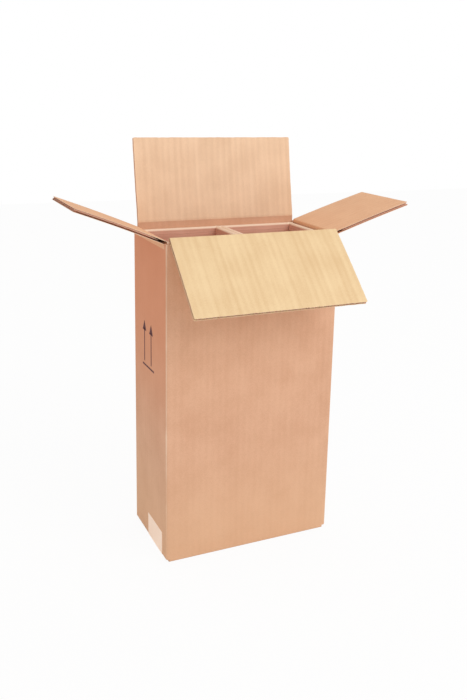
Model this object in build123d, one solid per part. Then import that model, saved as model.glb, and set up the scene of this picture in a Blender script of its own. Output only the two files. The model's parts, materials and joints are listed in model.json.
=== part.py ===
from build123d import *
import os
from math import radians, tan

# Two-bottle shipping carton with its four top flaps open, and a folded divider inside.
# Millimetres. +X right along the front, +Y to the back, +Z up.
# The origin is on the underside, at the middle of the carton's floor.

# carton
length = 212.0            # outside, left to right
depth = 112.0             # outside, front to back
board = 3.6               # single-wall corrugated board
wall_corner_round = 2.6   # outside radius of the four upright folds
base_round = 2.4          # outside radius of the folds round the base
minor_fold_height = 375.2  # fold line of the left and right top flaps
minor_meet_gap = 0.8      # between the tips of the closed left and right flaps
major_far_gap = 6.7       # from the closed front flap's tip to the back wall
stack_gap = 0.3           # air between closed top flaps
base_stack_gap = 0.2      # air between the two layers of the floor
major_slot = 4.5          # from the carton's end to the side edge of a front or back flap
minor_slot = 5.5          # from the carton's face to the side edge of a left or right flap
side_clearance = 0.3      # between a flap's side edge and the wall's corner post
corner_post_drop = 1.0    # the corner posts end this far under the minor fold
base_seam = 1.0           # between the two outer floor flaps, and the two inner ones
tip_round = 2.5           # rounding of the free corners of a flap

# folds of the top flaps
fold_gap = 0.15           # each board ends this far from the fold line
fold_tip = 0.35           # where each board's crushed tip is squared off
flaps_open_to = 148.0     # widest opening, from upright
fold_relief = 0.5         # degrees of air each side at the widest opening
inner_bevel = 45.0        # the crushed inner side lets a flap close to level
front_lean = 133.1        # outward lean of each flap as it stands open, from upright
back_lean = 10.2
left_lean = 68.2
right_lean = 72.6

# divider
divider_end_clearance = 2.4   # to the left wall, and to the right wall
divider_clearance = 0.6   # to the front wall, and to the back wall
divider_wall = 6.2        # two plies, rolled over at the top
divider_slit = 0.8        # between the two leaves in the middle
divider_top_gap = 0.3     # to the closed minor flaps

# tape
tape_width = 50.0
tape_centre_y = -18.0
tape_thickness = 0.12
tape_lap = 33.0           # height of the tape's ends on the left and right faces
tape_lift = 0.02          # the pressed-in tape clears the ground by this
tape_bend = 1.2           # above the minor base fold, where the tape leaves the wall

# worked out
half_board = board / 2
half_length = length / 2
half_depth = depth / 2
fold_step = board + stack_gap
front_fold_height = minor_fold_height + fold_step
back_fold_height = front_fold_height + fold_step
minor_flap_length = half_length - half_board - minor_meet_gap / 2
front_flap_length = depth - half_board - board - major_far_gap
back_flap_length = front_flap_length - fold_step
major_flap_width = length - 2 * major_slot
minor_flap_width = depth - 2 * minor_slot
upper_floor = board + base_stack_gap
floor_top = upper_floor + board
inside_length = length - 2 * board
inside_depth = depth - 2 * board
divider_length = inside_length - 2 * divider_end_clearance
outer_relief_angle = (180 - flaps_open_to) / 2 - fold_relief
outer_bevel_length = half_board / tan(radians(outer_relief_angle))
inner_bevel_length = half_board / tan(radians(inner_bevel))
inner_tip = (fold_tip - fold_gap) * tan(radians(inner_bevel))
outer_tip = (fold_tip - fold_gap) * tan(radians(outer_relief_angle))
over = 20.0               # how far cutting tools run past the board


# The front side is the pattern: outside towards -Y. The others are turned about Z.
sides = {
    "front": {"turn": 0, "half": half_depth, "fold": front_fold_height,
              "width": major_flap_width, "reach": front_flap_length, "lean": front_lean},
    "right": {"turn": 90, "half": half_length, "fold": minor_fold_height,
              "width": minor_flap_width, "reach": minor_flap_length, "lean": right_lean},
    "back": {"turn": 180, "half": half_depth, "fold": back_fold_height,
             "width": major_flap_width, "reach": back_flap_length, "lean": back_lean},
    "left": {"turn": 270, "half": half_length, "fold": minor_fold_height,
             "width": minor_flap_width, "reach": minor_flap_length, "lean": left_lean},
}


def fold_place(side):
    # the fold line runs along X in the middle of the board
    return Rot(0, 0, side["turn"]) * Pos(0, -side["half"] + half_board, side["fold"])


def across_board(points, width):
    # points are (across the board, inside positive; up), extruded along the fold
    face = make_face(Plane.YZ * Polyline(*points, close=True))
    return extrude(face, amount=width / 2, both=True)


def top_flap(side):
    outline = [
        (-outer_tip, fold_tip),
        (-half_board, fold_gap + outer_bevel_length),
        (-half_board, side["reach"]),
        (half_board, side["reach"]),
        (half_board, fold_gap + inner_bevel_length),
        (inner_tip, fold_tip),
    ]
    flap = across_board(outline, side["width"])
    tips = flap.edges().filter_by(Axis.Y).group_by(Axis.Z)[-1]
    flap = fillet(tips, tip_round)
    return fold_place(side) * Rot(side["lean"], 0, 0) * flap


def fold_cutter(side):
    # what is cut from the top of a wall to leave its bevelled fold
    outline = [
        (-half_board - over, over),
        (-half_board - over, -fold_gap - outer_bevel_length),
        (-half_board, -fold_gap - outer_bevel_length),
        (-outer_tip, -fold_tip),
        (inner_tip, -fold_tip),
        (half_board, -fold_gap - inner_bevel_length),
        (half_board + 2 * side_clearance, -fold_gap - inner_bevel_length),
        (half_board + 2 * side_clearance, over),
    ]
    return fold_place(side) * across_board(outline, side["width"] + 2 * side_clearance)


def upright_block(x_size, y_size, low, high):
    return Pos(0, 0, low) * extrude(Rectangle(x_size, y_size), amount=high - low)


def between(x, y, z):
    # a box given by its low and high sides
    sizes = [high - low for low, high in (x, y, z)]
    return Pos(*[(low + high) / 2 for low, high in (x, y, z)]) * Box(*sizes)


def rounded_envelope():
    # the carton's outside, with rounded upright folds and rounded folds round the base
    height = back_fold_height
    plan = extrude(RectangleRounded(length, depth, wall_corner_round), amount=height)
    tall = height + over
    major_view = Plane.YZ * Pos(0, tall / 2) * RectangleRounded(depth, tall, base_round)
    minor_view = Plane.XZ * Pos(0, upper_floor + tall / 2) * RectangleRounded(
        length, tall, base_round)
    foot_view = Plane.XZ * Pos(0, upper_floor) * Rectangle(major_flap_width, 2 * upper_floor)
    majors = extrude(major_view, amount=length, both=True)
    minors = extrude(minor_view, amount=depth, both=True)
    foot = extrude(foot_view, amount=depth, both=True)
    return plan & majors & (minors + foot)


def floor_flaps():
    outer = [
        between((-major_flap_width / 2, major_flap_width / 2), y, (0, board))
        for y in ((-half_depth, -base_seam / 2), (base_seam / 2, half_depth))
    ]
    inner = [
        between(x, (-minor_flap_width / 2, minor_flap_width / 2), (upper_floor, floor_top))
        for x in ((-half_length, -base_seam / 2), (base_seam / 2, half_length))
    ]
    return outer + inner


def corner_notches():
    # above the corner posts the four flaps are cut free of each other
    x_start = major_flap_width / 2 + side_clearance
    y_start = minor_flap_width / 2 + side_clearance
    low = minor_fold_height - corner_post_drop
    high = back_fold_height + over
    return [
        between(x, y, (low, high))
        for x in ((-half_length - over, -x_start), (x_start, half_length + over))
        for y in ((-half_depth - over, -y_start), (y_start, half_depth + over))
    ]


def tape_recess():
    # the tape is pressed this far into the soft liner under the floor
    return between(
        (-major_flap_width, major_flap_width),
        (tape_centre_y - tape_width / 2, tape_centre_y + tape_width / 2),
        (-over, tape_lift + tape_thickness),
    )


def carton_body():
    walls = upright_block(length, depth, 0, back_fold_height)
    walls -= upright_block(inside_length, inside_depth, -over, back_fold_height + over)
    body = walls
    for flap in floor_flaps():
        body += flap
    body &= rounded_envelope()
    for notch in corner_notches():
        body -= notch
    for side in sides.values():
        body -= fold_cutter(side)
    return body - tape_recess()


def rolled_wall(span, height):
    # an upright panel along X with its two plies rolled over at the top
    crown = divider_wall / 2
    straight = height - crown
    profile = Plane.YZ * (
        Pos(0, straight / 2) * Rectangle(divider_wall, straight) + Pos(0, straight) * Circle(crown)
    )
    return extrude(profile, amount=span / 2, both=True)


def bottle_divider():
    height = minor_fold_height - half_board - divider_top_gap - floor_top
    divider_depth = inside_depth - 2 * divider_clearance
    face_y = (divider_depth - divider_wall) / 2
    end_x = (divider_length - divider_wall) / 2
    leaf_x = (divider_slit + divider_wall) / 2
    long_wall = rolled_wall(divider_length, height)
    cross_wall = Rot(0, 0, 90) * rolled_wall(divider_depth, height)
    divider = Pos(0, -face_y, 0) * long_wall + Pos(0, face_y, 0) * long_wall
    for x in (-end_x, -leaf_x, leaf_x, end_x):
        divider += Pos(x, 0, 0) * cross_wall
    return Pos(0, 0, floor_top) * divider


def bottom_tape():
    # a U of tape: up the left face, under the floor, up the right face
    under = tape_lift + tape_thickness
    right_half = [
        (major_flap_width / 2, under),
        (half_length, upper_floor + tape_bend),
        (half_length, tape_lap),
    ]
    left_half = [(-x, z) for x, z in reversed(right_half)]
    inside = Polyline(*left_half, *right_half)
    strip = offset(inside, amount=tape_thickness, side=Side.RIGHT, closed=True)
    band = extrude(Plane.XZ * make_face(strip.edges()), amount=tape_width / 2, both=True)
    return Pos(0, tape_centre_y, 0) * band


nodes = {
    "carton_body": carton_body(),
    "bottle_divider": bottle_divider(),
    "bottom_tape": bottom_tape(),
}
for name, side in sides.items():
    nodes[name + "_flap"] = top_flap(side)

os.makedirs("parts", exist_ok=True)
for name, shape in nodes.items():
    export_step(shape, f"parts/{name}.step")
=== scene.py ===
import json
import math
import bpy
from mathutils import Matrix, Vector, noise


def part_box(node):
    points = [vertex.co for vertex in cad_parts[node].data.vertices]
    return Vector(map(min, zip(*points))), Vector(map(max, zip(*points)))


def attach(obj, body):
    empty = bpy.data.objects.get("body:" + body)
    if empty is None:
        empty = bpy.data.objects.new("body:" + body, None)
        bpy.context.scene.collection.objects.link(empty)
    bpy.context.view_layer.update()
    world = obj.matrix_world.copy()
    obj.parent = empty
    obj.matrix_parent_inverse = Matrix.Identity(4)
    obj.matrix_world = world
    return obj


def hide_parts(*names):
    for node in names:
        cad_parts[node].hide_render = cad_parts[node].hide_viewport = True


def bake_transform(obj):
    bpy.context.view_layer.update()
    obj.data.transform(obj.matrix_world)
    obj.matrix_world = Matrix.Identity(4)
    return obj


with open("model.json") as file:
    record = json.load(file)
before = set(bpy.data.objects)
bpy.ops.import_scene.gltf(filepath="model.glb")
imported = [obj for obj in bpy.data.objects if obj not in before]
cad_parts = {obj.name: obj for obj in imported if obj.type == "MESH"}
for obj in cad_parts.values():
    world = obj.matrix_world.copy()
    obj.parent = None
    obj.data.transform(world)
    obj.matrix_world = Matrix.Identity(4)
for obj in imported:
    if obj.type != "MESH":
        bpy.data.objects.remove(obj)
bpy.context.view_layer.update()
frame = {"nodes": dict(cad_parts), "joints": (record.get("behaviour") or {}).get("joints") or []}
joints = {joint["child"]: joint for joint in frame["joints"]}
wallLow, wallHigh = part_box("carton_body")
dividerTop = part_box("bottle_divider")[1].z
millimetre = 0.001
print("frame loaded")


class Socket:
    # one output of a node, with the usual operators
    def __init__(self, tree, out):
        self.tree = tree
        self.out = out

    def __add__(self, other):
        return mathNode("ADD", self, other)

    def __sub__(self, other):
        return mathNode("SUBTRACT", self, other)

    def __rsub__(self, other):
        return mathNode("SUBTRACT", other, self)

    def __mul__(self, other):
        return mathNode("MULTIPLY", self, other)

    def absolute(self):
        return mathNode("ABSOLUTE", self)

    def sine(self):
        return mathNode("SINE", self)

    def smaller(self, other):
        return mathNode("MINIMUM", self, other)

    def step(self, low, high):
        values = {"Value": self, "From Min": low, "From Max": high}
        node = makeNode(self.tree, "MapRange", {"interpolation_type": "SMOOTHSTEP"}, values)
        return Socket(self.tree, node.outputs[0])


def connect(tree, value, target):
    if isinstance(value, Socket):
        tree.links.new(value.out, target)
    else:
        target.default_value = value


def makeNode(tree, kind, settings, values):
    # settings go on the node itself, values and links into its sockets
    node = tree.nodes.new("ShaderNode" + kind)
    for name, value in settings.items():
        setattr(node, name, value)
    for key, value in values.items():
        connect(tree, value, node.inputs[key])
    return node


def mathNode(operation, *terms):
    tree = next(term.tree for term in terms if isinstance(term, Socket))
    node = makeNode(tree, "Math", {"operation": operation}, dict(enumerate(terms)))
    return Socket(tree, node.outputs[0])


def mixColors(tree, factor, first, second):
    node = makeNode(tree, "Mix", {"data_type": "RGBA"}, {0: factor, 6: first, 7: second})
    return Socket(tree, node.outputs[2])


def noiseValue(tree, place, scale, detail=3.0):
    node = makeNode(tree, "TexNoise", {}, {"Vector": place, "Scale": scale, "Detail": detail})
    return Socket(tree, node.outputs["Fac"])


def stretched(tree, stretch):
    # object coordinates in metres, squeezed along chosen axes
    place = Socket(tree, makeNode(tree, "TexCoord", {}, {}).outputs["Object"])
    node = makeNode(tree, "Mapping", {}, {"Scale": stretch, "Vector": place})
    return Socket(tree, node.outputs["Vector"])


def linear(red, green, blue):
    # display values from 0 to 255 to linear colour
    parts = [channel / 255 for channel in (red, green, blue)]
    return tuple(p / 12.92 if p < 0.04045 else ((p + 0.055) / 1.055) ** 2.4 for p in parts) + (1,)


def newMaterial(name):
    material = bpy.data.materials.new(name)
    material.use_nodes = True
    tree = material.node_tree
    return material, tree, tree.nodes["Principled BSDF"]


kraft = {
    "flutePitch": 7.8 * millimetre,
    "fluteWander": 4 * millimetre,     # the flutes drift sideways by up to this
    "wanderScale": 22.0,
    "mottle": 0.88,                    # soft clouds in the liner's colour
    "mottleScale": 28.0,
    "fleck": 0.64,                     # fine fibres
    "fleckScale": 900.0,
    "roughness": 0.82,
    "gloss": 0.25,
    "bumpHeight": 0.05 * millimetre,
    "bumpStrength": 0.9,
}

# across: weights of X, Y and Z that run across the flutes; streak: squeeze of the long streaks
# flutes and streaks: how strongly each shows as bands of colour
boards = {
    "wallBoard": {
        "pale": linear(231, 184, 152), "dark": linear(214, 164, 132),
        "across": (1, 1, 0), "streak": (90, 90, 6), "flutes": 0.03, "streaks": 0.25,
    },
    # the front, back and side flaps are copies of one inner liner in different colours: painted
    # light, paler on the front and back flaps that catch more light
    "frontBoard": {
        "pale": linear(244, 215, 170), "dark": linear(228, 194, 148),
        "across": (1, 0, 0), "streak": (130, 6, 6), "flutes": 0.07, "streaks": 0.8,
    },
    "backBoard": {
        "pale": linear(250, 214, 180), "dark": linear(232, 194, 160),
        "across": (1, 0, 0), "streak": (150, 6, 6), "flutes": 0.07, "streaks": 0.6,
    },
    "sideBoard": {
        "pale": linear(243, 194, 154), "dark": linear(228, 176, 138),
        "across": (0, 1, 0), "streak": (6, 90, 6), "flutes": 0.06, "streaks": 0.3,
    },
    "dividerBoard": {
        "pale": linear(238, 186, 162), "dark": linear(212, 156, 132),
        "across": (0, 0, 1), "streak": (6, 6, 130), "flutes": 0.1, "streaks": 0.9,
    },
}


def kraftMaterial(name, tone=None):
    look = boards[name]
    material, tree, shader = newMaterial(name)
    plain = stretched(tree, (1, 1, 1))
    split = makeNode(tree, "SeparateXYZ", {}, {0: plain})
    x, y, z = (Socket(tree, split.outputs[i]) for i in range(3))
    position = x * look["across"][0] + y * look["across"][1] + z * look["across"][2]
    wander = noiseValue(tree, plain, kraft["wanderScale"]) * kraft["fluteWander"]
    flutes = ((position + wander) * (2 * math.pi / kraft["flutePitch"])).sine()
    streaks = noiseValue(tree, stretched(tree, look["streak"]), 1.0, 2.0)
    cloud = noiseValue(tree, plain, kraft["mottleScale"], 5.0)
    fleck = noiseValue(tree, plain, kraft["fleckScale"], 2.0)
    level = flutes * look["flutes"] + (streaks - 0.5) * look["streaks"] + 0.5
    level = level + (cloud - 0.5) * kraft["mottle"] + (fleck - 0.5) * kraft["fleck"]
    colour = mixColors(tree, level.step(0.05, 0.95), look["dark"], look["pale"])
    if tone:
        colour = tone(tree, colour, x, y, z, cloud)
    connect(tree, colour, shader.inputs["Base Color"])
    shader.inputs["Roughness"].default_value = kraft["roughness"]
    shader.inputs["Specular IOR Level"].default_value = kraft["gloss"]
    bump = makeNode(tree, "Bump", {}, {
        "Distance": kraft["bumpHeight"],
        "Strength": kraft["bumpStrength"],
        "Height": flutes * 0.5 + streaks + fleck * 0.8,
    })
    tree.links.new(bump.outputs["Normal"], shader.inputs["Normal"])
    return material


wallTonesAndPaintedLight = {
    "highlightInset": 1.6 * millimetre,      # how far in from a corner the painted highlight begins
    "highlightWander": 1.6 * millimetre,
    "highlightSoftness": 1.2 * millimetre,
    "highlightStrength": 0.75,
    "highlightColour": linear(247, 222, 197),
    "footHeight": 160 * millimetre,
    "footStrength": 0.45,
    "footColour": linear(232, 190, 150),
    "leftShadeSkin": 0.4 * millimetre,      # the left face's painted shade reaches this deep
    "leftShadeSoftness": 0.2 * millimetre,
    "leftShadeFrom": 100 * millimetre,      # its painted shade comes in between these heights
    "leftShadeTo": 300 * millimetre,
    "leftShadeStrength": 0.75,
    "leftShadeColour": linear(222, 146, 109),
}


def paintWallTonesAndLight(tree, colour, x, y, z, cloud):
    # painted highlight down the upright folds, the foot of the walls a little yellower, and painted
    # shade on the left face
    insetX = wallHigh.x - wallTonesAndPaintedLight["highlightInset"]
    insetY = wallHigh.y - wallTonesAndPaintedLight["highlightInset"]
    corner = (x.absolute() - insetX).smaller(y.absolute() - insetY)
    uneven = corner + (cloud - 0.5) * wallTonesAndPaintedLight["highlightWander"]
    # painted highlight on the rounded upright corners of the carton
    cornerHighlight = uneven.step(0.0, wallTonesAndPaintedLight["highlightSoftness"]) * wallTonesAndPaintedLight["highlightStrength"]
    colour = mixColors(tree, cornerHighlight, colour, wallTonesAndPaintedLight["highlightColour"])
    foot = (wallTonesAndPaintedLight["footHeight"] - z).step(0.0, wallTonesAndPaintedLight["footHeight"]) * wallTonesAndPaintedLight["footStrength"]
    colour = mixColors(tree, foot, colour, wallTonesAndPaintedLight["footColour"])
    # painted shade on the left face, stronger higher up
    leftShadeMask = (wallTonesAndPaintedLight["leftShadeSkin"] - wallHigh.x - x).step(0.0, wallTonesAndPaintedLight["leftShadeSoftness"])
    upper = (z - wallTonesAndPaintedLight["leftShadeFrom"]).step(0.0, wallTonesAndPaintedLight["leftShadeTo"] - wallTonesAndPaintedLight["leftShadeFrom"])
    return mixColors(tree, leftShadeMask * upper * wallTonesAndPaintedLight["leftShadeStrength"], colour, wallTonesAndPaintedLight["leftShadeColour"])


crown = {
    "shadeLineDepth": 6.5 * millimetre,   # painted shade line, this far under the rolled top
    "shadeLineWander": 4 * millimetre,
    "shadeLineWidth": 0.7 * millimetre,
    "shadeLineStrength": 0.35,
    "shadeLineColour": linear(165, 104, 84),
    # painted highlight on the rolled tops
    "crownHighlightDepth": 2.6 * millimetre,
    "crownHighlightSoftness": 1.4 * millimetre,
    "crownHighlightStrength": 0.85,
    "crownHighlightColour": linear(250, 226, 200),
}


def paintedCrownLight(tree, colour, x, y, z, cloud):
    # painted highlight on the rolled tops, with a faint painted shade line under them
    above = z - (dividerTop - crown["shadeLineDepth"])
    shadeLineDistance = (above + (cloud - 0.5) * crown["shadeLineWander"]).absolute()
    shadeLine = (crown["shadeLineWidth"] - shadeLineDistance).step(0.0, crown["shadeLineWidth"])
    # painted shade line under the rolled top
    colour = mixColors(tree, shadeLine * crown["shadeLineStrength"], colour, crown["shadeLineColour"])
    crownHighlight = (z - (dividerTop - crown["crownHighlightDepth"])).step(0.0, crown["crownHighlightSoftness"])
    return mixColors(tree, crownHighlight * crown["crownHighlightStrength"], colour, crown["crownHighlightColour"])


wallBoard = kraftMaterial("wallBoard", paintWallTonesAndLight)
frontBoard = kraftMaterial("frontBoard")
backBoard = kraftMaterial("backBoard")
sideBoard = kraftMaterial("sideBoard")
dividerBoard = kraftMaterial("dividerBoard", paintedCrownLight)


def plainMaterial(name, colour, roughness):
    material, tree, shader = newMaterial(name)
    shader.inputs["Base Color"].default_value = colour
    shader.inputs["Roughness"].default_value = roughness
    return material


cutEdge = plainMaterial("cutEdge", linear(222, 176, 152), 0.9)
linerEdge = plainMaterial("linerEdge", linear(245, 216, 190), 0.85)
ink = plainMaterial("ink", linear(96, 50, 52), 0.75)
print("materials made")


flapShape = {
    "linerThickness": 0.35 * millimetre,
    "mediumThickness": 0.3 * millimetre,
    "mediumStart": 9 * millimetre,     # the flutes stay clear of the bend
    "mediumTipGap": 0.4 * millimetre,
    "mediumSideGap": 0.25 * millimetre,
    "mediumSkin": 0.35 * millimetre,   # from a wave's crest to the board's face
    "mediumRows": 10,
    "waveSamples": 12,
    "crushLength": 9 * millimetre,
    "tipRound": 1.2 * millimetre,
    "raggedness": 0.35 * millimetre,
    "raggedZone": 0.4 * millimetre,
    "innerFoot": 1.05,                 # the liners run down the wall, in half boards
    "outerFoot": 3.75,
    "foldSteps": 14,
    "sheetColumns": 40,
    "sheetRows": 26,
    "rowPacking": 1.7,                 # crowds the rows towards the tip
    "bendReach": 4 * millimetre,       # either side of the fold
    "smoothAngle": math.radians(35),
}


def addGrid(name, columns, rows, place):
    # a grid whose vertices go where place(across share, along share) says
    bpy.ops.object.select_all(action="DESELECT")
    bpy.ops.mesh.primitive_grid_add(x_subdivisions=columns, y_subdivisions=rows, size=1)
    sheet = bpy.context.active_object
    sheet.name = name
    for vertex in sheet.data.vertices:
        vertex.co = place(vertex.co.x + 0.5, vertex.co.y + 0.5)
    return sheet


def thicken(sheet, thickness):
    solid = sheet.modifiers.new("thickness", "SOLIDIFY")
    solid.thickness = thickness
    solid.offset = 0
    solid.material_offset_rim = 1
    bpy.context.view_layer.objects.active = sheet
    bpy.ops.object.modifier_apply(modifier=solid.name)
    bpy.ops.object.mode_set(mode="EDIT")
    bpy.ops.mesh.select_all(action="SELECT")
    bpy.ops.mesh.normals_make_consistent(inside=False)
    bpy.ops.object.mode_set(mode="OBJECT")


def joinPieces(pieces, name):
    bpy.ops.object.select_all(action="DESELECT")
    for piece in pieces:
        piece.select_set(True)
    bpy.context.view_layer.objects.active = pieces[0]
    bpy.ops.object.join()
    pieces[0].name = name
    bpy.ops.object.shade_smooth_by_angle(angle=flapShape["smoothAngle"])
    return pieces[0]


def pointAlong(path, distance):
    for start, end in zip(path, path[1:]):
        span = (end - start).length
        if distance <= span:
            return start.lerp(end, distance / span)
        distance -= span
    return path[-1]


def flapPaths(half, lean, reach):
    # (inward, up) about the fold line: the inner liner rolls round it, the outer one is pinched
    along = Vector((-math.sin(lean), math.cos(lean)))
    inward = Vector((math.cos(lean), math.sin(lean)))
    inner = [Vector((half, -flapShape["innerFoot"] * half))]
    for step in range(flapShape["foldSteps"] + 1):
        angle = lean * step / flapShape["foldSteps"]
        inner.append(Vector((math.cos(angle), math.sin(angle))) * half)
    inner.append(along * reach + inward * half)
    pinch = half * math.tan(lean / 2)
    outer = [
        Vector((-half, -flapShape["outerFoot"] * half)),
        Vector((-half, -pinch)),
        along * reach - inward * half,
    ]
    return inner, outer, along, inward


def makeFlap(name, board, bow):
    joint = joints[name]
    low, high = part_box(name)
    pivot = Vector(joint["pos_m"])
    # the range starts at the shut flap, which lies 90 degrees inward of upright
    lean = abs(math.radians(90 + joint["range_deg"][0]))
    axis = Vector(joint["axis"])
    up = Vector((0, 0, 1))
    outward = axis.cross(up)
    width = (high - low).dot(Vector(map(abs, axis)))
    half = abs((wallHigh - Vector(map(abs, pivot))).dot(Vector(map(abs, outward))))
    slope = outward * math.sin(lean) + up * math.cos(lean)
    corners = frame["nodes"][name].data.vertices
    reach = max((corner.co - pivot).dot(slope) for corner in corners)
    inner, outer, along, inward = flapPaths(half, lean, reach)
    waves = round(width / kraft["flutePitch"])

    def toFrame(side, point):
        return pivot + axis * side - outward * point.x + up * point.y

    def tipHalfWidth(toTip):
        radius = flapShape["tipRound"]
        if toTip > radius:
            return width / 2
        return width / 2 - radius + math.sqrt(max(radius ** 2 - (radius - toTip) ** 2, 0))

    def bend(share):
        return bow * math.sin(math.pi * max(share, 0))

    def placeLiner(path):
        lengths = [(b - a).length for a, b in zip(path, path[1:])]
        foldPart = sum(lengths[:-1])
        foldRows = len(path) * 2
        rows = flapShape["sheetRows"] + foldRows

        def place(acrossShare, alongShare):
            row = alongShare * rows
            if row < foldRows:
                distance = foldPart * row / foldRows
            else:
                far = (row - foldRows) / flapShape["sheetRows"]
                distance = foldPart + lengths[-1] * (1 - (1 - far) ** flapShape["rowPacking"])
            point = pointAlong(path, distance)
            toTip = max(foldPart + lengths[-1] - distance, 0)
            share = max(distance - foldPart, 0) / lengths[-1]
            side = (acrossShare * 2 - 1) * tipHalfWidth(toTip)
            ragged = noise.noise(Vector((side * 900, share * 40, lean)))   # finer across
            if toTip < flapShape["raggedZone"]:
                point = point + along * ragged * flapShape["raggedness"]
            if acrossShare < 0.001 or acrossShare > 0.999:
                side += ragged * flapShape["raggedness"] * 0.7
            return toFrame(side, point + inward * bend(share))

        return place, rows

    def placeMedium(acrossShare, alongShare):
        start = flapShape["mediumStart"]
        distance = start + (reach - flapShape["mediumTipGap"] - start) * alongShare
        side = (acrossShare * 2 - 1) * (tipHalfWidth(reach - distance) - flapShape["mediumSideGap"])
        loft = min((distance - start) / flapShape["crushLength"], 1)
        wave = math.sin(side * 2 * math.pi * waves / width)
        height = (half - flapShape["mediumSkin"]) * loft * wave
        return toFrame(side, along * distance + inward * (height + bend(distance / reach)))

    sheets = []
    for liner, path in (("inner", inner), ("outer", outer)):
        place, rows = placeLiner(path)
        sheet = addGrid(f"{name}_{liner}", flapShape["sheetColumns"], rows, place)
        sheet.data.materials.append(board)
        sheet.data.materials.append(linerEdge)
        thicken(sheet, flapShape["linerThickness"])
        sheets.append(sheet)
    waveColumns = waves * flapShape["waveSamples"]
    medium = addGrid(f"{name}_medium", waveColumns, flapShape["mediumRows"], placeMedium)
    medium.data.materials.append(cutEdge)
    medium.data.materials.append(cutEdge)
    thicken(medium, flapShape["mediumThickness"])
    sheets.append(medium)
    flap = joinPieces(sheets, name + "_board")
    end = toFrame(0, along * flapShape["bendReach"])
    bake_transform(flap)
    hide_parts(name)
    print(name, "made, reach", round(reach / millimetre, 1))


# the last value is how far a flap's middle bows inward
makeFlap("front_flap", frontBoard, 0.5 * millimetre)
makeFlap("back_flap", backBoard, -0.6 * millimetre)
makeFlap("left_flap", sideBoard, 0.7 * millimetre)
makeFlap("right_flap", sideBoard, 0.5 * millimetre)


def finishNode(name, material):
    node = frame["nodes"][name]
    node.data.materials.clear()
    node.data.materials.append(material)


finishNode("carton_body", wallBoard)
finishNode("bottle_divider", dividerBoard)

tape = {
    "colour": linear(255, 236, 215),
    "glow": linear(255, 205, 175),
    "glowStrength": 0.17,              # stands in for light caught in the film
    "roughness": 0.3,
    "coat": 0.5,
    "alpha": 0.9,
}
tapeFilm, tapeTree, tapeShader = newMaterial("tapeFilm")
tapeShader.inputs["Base Color"].default_value = tape["colour"]
tapeShader.inputs["Roughness"].default_value = tape["roughness"]
tapeShader.inputs["Coat Weight"].default_value = tape["coat"]
tapeShader.inputs["Alpha"].default_value = tape["alpha"]
tapeShader.inputs["Emission Color"].default_value = tape["glow"]
tapeShader.inputs["Emission Strength"].default_value = tape["glowStrength"]
finishNode("bottom_tape", tapeFilm)
print("carton, divider and tape finished")


arrows = {
    "places": (17.5 * millimetre, -6.0 * millimetre),   # along Y
    "foot": 224 * millimetre,
    "tip": 273 * millimetre,
    "tipWidth": 0.3 * millimetre,
    "shaftWidth": 2.6 * millimetre,
    "headWidth": 13 * millimetre,
    "headHeight": 12 * millimetre,
    "shaftInHead": 0.2,                # share of the head that the shaft runs into
    "barFrom": -16 * millimetre,
    "barTo": 24.5 * millimetre,
    "barHeight": 219.5 * millimetre,
    "barThickness": 2.2 * millimetre,
    "lift": 0.06 * millimetre,
}


def inkPatch(name, low, high, tipWidth=None):
    # a flat patch on the left face, from (y, z) to (y, z); tipWidth narrows its top
    middle = (low[0] + high[0]) / 2

    def place(acrossShare, alongShare):
        y = high[0] + (low[0] - high[0]) * acrossShare
        if tipWidth is not None:
            shrink = 1 + (tipWidth / (high[0] - low[0]) - 1) * alongShare
            y = middle + (y - middle) * shrink
        z = low[1] + (high[1] - low[1]) * alongShare
        return Vector((wallLow.x - arrows["lift"], y, z))

    patch = addGrid(name, 2, 2, place)
    patch.data.materials.append(ink)
    return patch


def printArrows():
    patches = []
    shaft = arrows["shaftWidth"] / 2
    head = arrows["headWidth"] / 2
    headFoot = arrows["tip"] - arrows["headHeight"]
    shaftTop = headFoot + arrows["headHeight"] * arrows["shaftInHead"]
    for number, y in enumerate(arrows["places"]):
        patches.append(inkPatch(f"shaft{number}", (y - shaft, arrows["foot"]), (y + shaft, shaftTop)))
        patches.append(inkPatch(f"head{number}", (y - head, headFoot), (y + head, arrows["tip"]),
                                arrows["tipWidth"]))
    bar = arrows["barThickness"] / 2
    patches.append(inkPatch("bar", (arrows["barFrom"], arrows["barHeight"] - bar),
                            (arrows["barTo"], arrows["barHeight"] + bar)))
    printed = joinPieces(patches, "up_arrows")
    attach(printed, "carton")


printArrows()
print("print made")


stage = {
    "floor": 6.0,
    "floorColour": (0.92, 0.92, 0.92, 1),
    "floorWhite": 0.93,                # how far the camera's floor is lifted to white
    "skyColour": (1.0, 0.985, 0.97, 1),
    "skyStrength": 0.79,
    "white": (1, 1, 1, 1),
}

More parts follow.
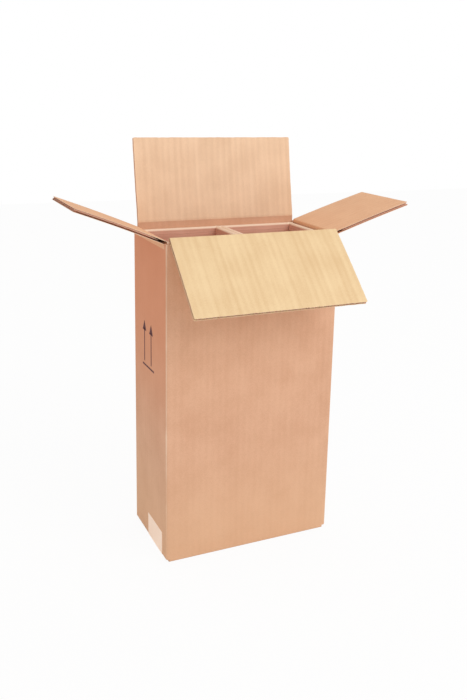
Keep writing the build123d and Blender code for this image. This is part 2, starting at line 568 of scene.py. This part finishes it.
bpy.ops.mesh.primitive_plane_add(size=stage["floor"])
floor = bpy.context.active_object
floor.name = "floor"
floorMaterial, floorTree, floorShader = newMaterial("floorMaterial")
floorShader.inputs["Base Color"].default_value = stage["floorColour"]
floorShader.inputs["Roughness"].default_value = 1
floorPath = makeNode(floorTree, "LightPath", {}, {})
floorSeen = Socket(floorTree, floorPath.outputs["Is Camera Ray"]) * stage["floorWhite"]
floorGlow = makeNode(floorTree, "Emission", {}, {"Color": stage["white"]})
floorMix = makeNode(floorTree, "MixShader", {}, {
    0: floorSeen,
    1: Socket(floorTree, floorShader.outputs[0]),
    2: Socket(floorTree, floorGlow.outputs[0]),
})
floorTree.links.new(floorMix.outputs[0], floorTree.nodes["Material Output"].inputs["Surface"])
floor.data.materials.append(floorMaterial)

world = bpy.data.worlds.new("world")
bpy.context.scene.world = world
world.use_nodes = True
skyTree = world.node_tree
sky = skyTree.nodes["Background"]
sky.inputs["Color"].default_value = stage["skyColour"]
sky.inputs["Strength"].default_value = stage["skyStrength"]
backdrop = makeNode(skyTree, "Background", {}, {"Color": stage["white"]})
skyPath = makeNode(skyTree, "LightPath", {}, {})
skyMix = makeNode(skyTree, "MixShader", {}, {
    0: Socket(skyTree, skyPath.outputs["Is Camera Ray"]),
    1: Socket(skyTree, sky.outputs[0]),
    2: Socket(skyTree, backdrop.outputs[0]),
})
skyTree.links.new(skyMix.outputs[0], skyTree.nodes["World Output"].inputs["Surface"])

keyLight = {"place": (0.9, -1.6, 1.5), "size": 1.2, "power": 13, "target": (0, 0, 0.25)}
bpy.ops.object.light_add(type="AREA", location=keyLight["place"])
key = bpy.context.active_object
key.data.size = keyLight["size"]
key.data.energy = keyLight["power"]
aim = Vector(keyLight["target"]) - Vector(keyLight["place"])
key.rotation_euler = aim.to_track_quat("-Z", "Y").to_euler()

viewpoint = {
    "place": (-0.38653, -0.84989, 0.53269),
    "azimuth": -25.25,
    "elevation": 13.6,
    "roll": 1.37,
    "lens": 41.78,
    "shiftX": -0.0176,
    "shiftY": -0.0887,
}
azimuth = math.radians(viewpoint["azimuth"])
elevation = math.radians(viewpoint["elevation"])
back = Vector((math.sin(azimuth) * math.cos(elevation),
               -math.cos(azimuth) * math.cos(elevation), math.sin(elevation)))
bpy.ops.object.camera_add(location=viewpoint["place"])
camera = bpy.context.active_object
turn = (-back).to_track_quat("-Z", "Y").to_matrix()
camera.rotation_euler = (turn @ Matrix.Rotation(math.radians(viewpoint["roll"]), 3, "Z")).to_euler()
camera.data.lens = viewpoint["lens"]
camera.data.shift_x = viewpoint["shiftX"]
camera.data.shift_y = viewpoint["shiftY"]
bpy.context.scene.camera = camera
bpy.context.scene.view_settings.view_transform = "Standard"
print("stage made")
